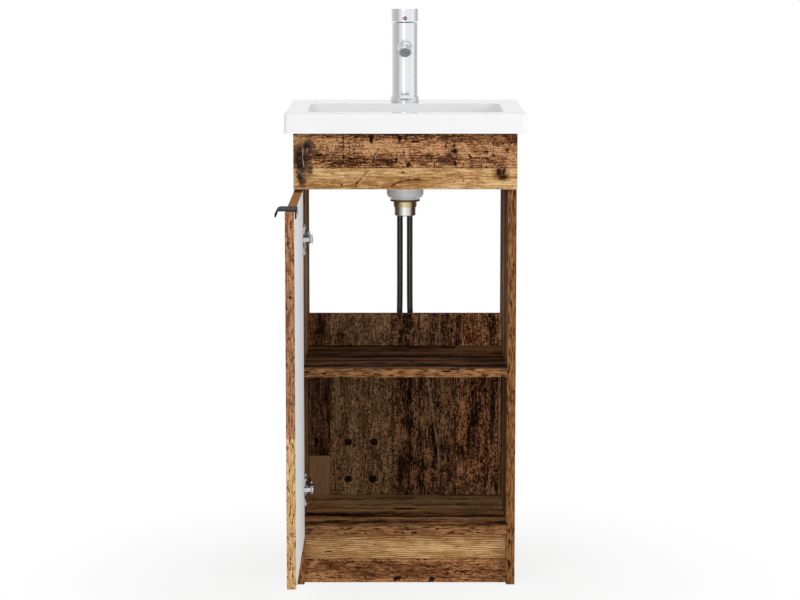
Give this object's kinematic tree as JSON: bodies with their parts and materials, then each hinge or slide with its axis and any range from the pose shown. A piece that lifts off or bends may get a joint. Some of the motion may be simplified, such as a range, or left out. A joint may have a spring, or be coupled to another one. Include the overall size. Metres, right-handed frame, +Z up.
{
  "type": "vanity unit",
  "caption": "Narrow floor-standing bathroom vanity with an aged-wood cabinet, ceramic basin, single-lever tap, shelf and a side-hung door that stands open.",
  "frame": {"origin": "on the floor, in the middle of the width, under the middle of the plinth's thickness, 23.5 mm behind the side panels' front edges", "axes": "+X to the right, +Y from the front to the wall, +Z up"},
  "size_m": [0.4165, 0.749, 1.0014],
  "materials": {
    "apron": "printed board, aged reclaimed wood look",
    "back_panel": "printed board, aged reclaimed wood look",
    "beech": "dowel wood",
    "black_braid": "black braided sleeve",
    "black_metal": "matt black",
    "black_rubber": "matt",
    "bottom_panel": "printed board, aged reclaimed wood look",
    "brass": "turned",
    "ceramic": "glossy white glaze",
    "chrome": "polished",
    "clear_pad": "soft clear pad",
    "door_panel": "printed board, aged reclaimed wood look",
    "grey_plastic": "moulded",
    "index_colour": "red half and blue half",
    "nickel": "nickel plated",
    "plinth": "printed board, aged reclaimed wood look",
    "rear_rail": "printed board, aged reclaimed wood look",
    "shelf": "printed board, aged reclaimed wood look",
    "side_panel_left": "printed board, aged reclaimed wood look",
    "side_panel_right": "printed board, aged reclaimed wood look",
    "white_plastic": "moulded",
    "zinc_steel": "zinc plated"
  },
  "bodies": {
    "cabinet": {"aerator_insert": "grey_plastic", "aerator_ring": "chrome", "apron": "apron", "back_panel": "back_panel", "basin": "ceramic", "bottom_panel": "bottom_panel", "cam_bolts": "zinc_steel", "cam_discs": "zinc_steel", "cartridge_body": "white_plastic", "cartridge_nut": "brass", "dowels": "beech", "drain_gasket": "black_rubber", "drain_nut": "brass", "drain_tailpiece": "chrome", "hinge_adjusting_screws": "nickel", "hinge_arm_lower": "nickel", "hinge_arm_pins": "nickel", "hinge_arm_upper": "nickel", "hinge_plate_lower": "nickel", "hinge_plate_screws": "nickel", "hinge_plate_upper": "nickel", "horseshoe_plate": "zinc_steel", "horseshoe_seal": "black_rubber", "hose_cold": "black_braid", "hose_hot": "black_braid", "hose_nut_cold": "nickel", "hose_nut_hot": "nickel", "hose_tails": "nickel", "plinth": "plinth", "plug_latch": "brass", "rear_rail": "rear_rail", "shelf": "shelf", "side_panel_left": "side_panel_left", "side_panel_right": "side_panel_right", "stud_nut": "brass", "tap_base_ring": "chrome", "tap_base_seal": "black_rubber", "tap_body": "chrome", "tap_stud": "zinc_steel", "waste_flange": "chrome"},
    "door": {"door_panel": "door_panel", "door_handle": "black_metal", "door_bumpers": "clear_pad", "handle_screws": "nickel", "hinge_cup_upper": "nickel", "hinge_cup_lower": "nickel", "hinge_cup_pins": "nickel", "hinge_cup_screws": "nickel"},
    "hinge_links": {"hinge_link_upper": "nickel", "hinge_link_lower": "nickel"},
    "tap_turret": {"cartridge_guide": "white_plastic"},
    "tap_handle": {"tap_cap": "chrome", "tap_lever": "chrome", "temperature_index": "index_colour", "cap_grub_screw": "zinc_steel", "cartridge_stem": "brass"},
    "plug": {"waste_plug": "chrome", "plug_seal": "black_rubber"}
  },
  "joints": [
    {"name": "door_swing", "type": "hinge", "parent": "cabinet", "child": "door", "pos_m": [-0.1845, -0.0335, 0.3925], "axis": [0, 0, 1], "range_deg": [-5, 90]},
    {"name": "link_swing", "type": "hinge", "parent": "cabinet", "child": "hinge_links", "pos_m": [-0.1638, -0.0297, 0.3925], "axis": [0, 0, 1], "range_deg": [-40, 3]},
    {"name": "tap_turn", "type": "hinge", "parent": "cabinet", "child": "tap_turret", "pos_m": [0, 0.2835, 0.9774], "axis": [0, 0, 1], "range_deg": [-45, 45]},
    {"name": "tap_lift", "type": "hinge", "parent": "tap_turret", "child": "tap_handle", "pos_m": [0, 0.3055, 0.9774], "axis": [-1, 0, 0], "range_deg": [0, 20]},
    {"name": "plug_press", "type": "slide", "parent": "cabinet", "child": "plug", "axis": [0, 0, 1], "range_m": [0, 0.006]}
  ],
  "couplings": [
    {"joint": "link_swing", "follows": "door_swing", "ratio": -0.44188}
  ]
}
